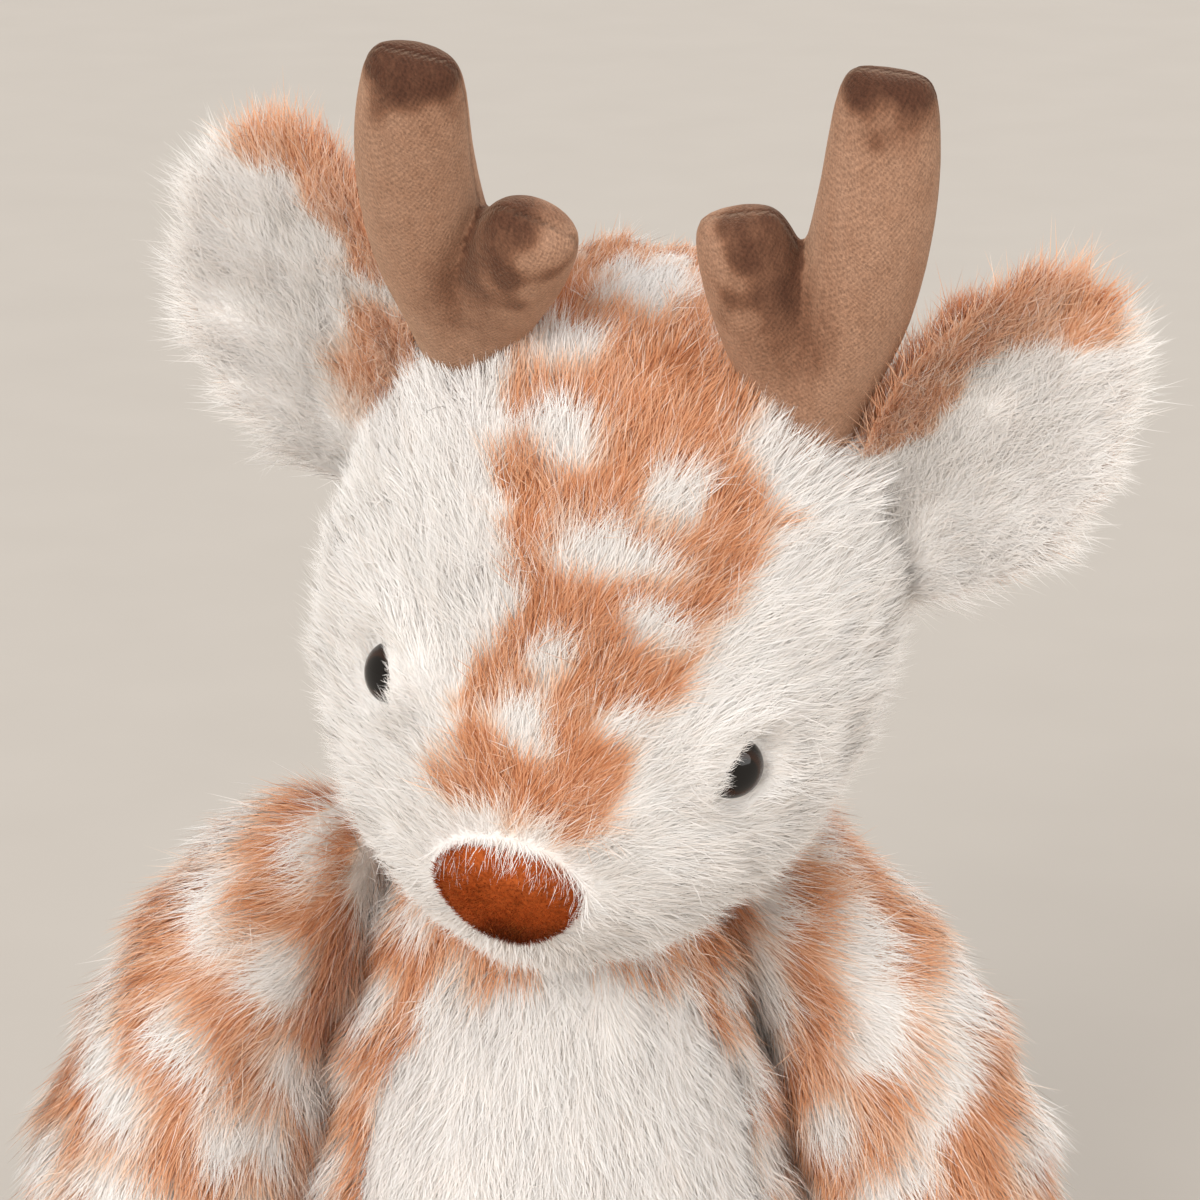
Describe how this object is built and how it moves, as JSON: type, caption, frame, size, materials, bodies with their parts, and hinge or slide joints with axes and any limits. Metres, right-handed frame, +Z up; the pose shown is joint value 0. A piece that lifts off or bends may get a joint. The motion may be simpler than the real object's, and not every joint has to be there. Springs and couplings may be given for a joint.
{
  "type": "plush deer",
  "caption": "Seated stuffed deer with long fur covers, soft antlers and leaf-shaped ears; its head, arms, legs, ears, antlers and tail flex at their seams.",
  "frame": {"origin": "on the surface the toy sits on, under the middle of its torso", "axes": "+Z up, -Y the way the toy faces, +X towards the toy's own left"},
  "size_m": [0.2214, 0.2184, 0.3142],
  "materials": {
    "spotted_fur": "long apricot-tan faux fur with white spots",
    "white_fur": "long off-white faux fur",
    "brown_velour": "short-napped taupe velour with brushed patches",
    "nose_velvet": "short rust-coloured velvet",
    "eye_gloss": "polished black plastic",
    "washer_plastic": "plain moulded plastic",
    "stuffing": "loose polyester fibre",
    "pouch_cloth": "plain woven cotton holding plastic pellets",
    "label_tape": "blank satin tape"
  },
  "bodies": {
    "torso": {"body_cover": "spotted_fur", "belly_panel": "white_fur", "body_stuffing": "stuffing", "pellet_pouch": "pouch_cloth", "care_label": "label_tape"},
    "neck_skin": {"neck_cover": "spotted_fur"},
    "neck_core": {"neck_stuffing": "stuffing"},
    "head": {"head_cover": "white_fur", "head_stuffing": "stuffing", "eye_left": "eye_gloss", "eye_right": "eye_gloss", "eye_left_washer": "washer_plastic", "eye_right_washer": "washer_plastic", "nose_cover": "nose_velvet", "nose_padding": "stuffing"},
    "antler_left": {"antler_left_cover": "brown_velour", "antler_left_stuffing": "stuffing"},
    "antler_right": {"antler_right_cover": "brown_velour", "antler_right_stuffing": "stuffing"},
    "ear_left": {"ear_left_outer": "spotted_fur", "ear_left_inner": "white_fur"},
    "ear_right": {"ear_right_outer": "spotted_fur", "ear_right_inner": "white_fur"},
    "arm_left": {"arm_left_cover": "spotted_fur", "arm_left_hoof": "brown_velour", "arm_left_stuffing": "stuffing"},
    "arm_right": {"arm_right_cover": "spotted_fur", "arm_right_hoof": "brown_velour", "arm_right_stuffing": "stuffing"},
    "leg_left": {"leg_left_cover": "spotted_fur", "leg_left_hoof": "brown_velour", "leg_left_stuffing": "stuffing"},
    "leg_right": {"leg_right_cover": "spotted_fur", "leg_right_hoof": "brown_velour", "leg_right_stuffing": "stuffing"},
    "tail": {"tail_cover": "spotted_fur", "tail_stuffing": "stuffing"}
  },
  "joints": [
    {"name": "head_turn", "type": "hinge", "parent": "torso", "child": "neck_skin", "pos_m": [0.004, -0.003, 0.15], "axis": [0, 0, 1], "range_deg": [-12, 45]},
    {"name": "head_tilt", "type": "hinge", "parent": "neck_skin", "child": "neck_core", "pos_m": [0.004, -0.003, 0.15], "axis": [0.342, 0.9397, 0], "range_deg": [-22, 4]},
    {"name": "head_nod", "type": "hinge", "parent": "neck_core", "child": "head", "pos_m": [0.004, -0.003, 0.15], "axis": [0.9156, -0.3333, -0.225], "range_deg": [-40, 0]},
    {"name": "antler_left_rock", "type": "hinge", "parent": "head", "child": "antler_left", "pos_m": [0.04103, -0.0585, 0.23784], "axis": [0.4016, 0.7308, 0.5519], "range_deg": [-8, 8]},
    {"name": "ear_left_flop", "type": "hinge", "parent": "head", "child": "ear_left", "pos_m": [0.05876, -0.04726, 0.19556], "axis": [0.4016, 0.7308, 0.5519], "range_deg": [0, 30]},
    {"name": "antler_right_rock", "type": "hinge", "parent": "head", "child": "antler_right", "pos_m": [-0.01757, -0.03717, 0.25224], "axis": [0.4016, 0.7308, 0.5519], "range_deg": [-8, 8]},
    {"name": "ear_right_flop", "type": "hinge", "parent": "head", "child": "ear_right", "pos_m": [-0.0328, -0.01393, 0.21805], "axis": [0.4016, 0.7308, 0.5519], "range_deg": [-30, 0]},
    {"name": "arm_left_swing", "type": "hinge", "parent": "torso", "child": "arm_left", "pos_m": [0.044, -0.003, 0.128], "axis": [1, 0, 0], "range_deg": [-80, 20]},
    {"name": "leg_left_swing", "type": "hinge", "parent": "torso", "child": "leg_left", "pos_m": [0.03, -0.012, 0.02654], "axis": [1, 0, 0], "range_deg": [-5, 80]},
    {"name": "arm_right_swing", "type": "hinge", "parent": "torso", "child": "arm_right", "pos_m": [-0.044, -0.003, 0.134], "axis": [1, 0, 0], "range_deg": [-80, 20]},
    {"name": "leg_right_swing", "type": "hinge", "parent": "torso", "child": "leg_right", "pos_m": [-0.03, -0.012, 0.02654], "axis": [1, 0, 0], "range_deg": [-5, 80]},
    {"name": "tail_lift", "type": "hinge", "parent": "torso", "child": "tail", "pos_m": [0, 0.04504, 0.034], "axis": [1, 0, 0], "range_deg": [-15, 30]}
  ]
}
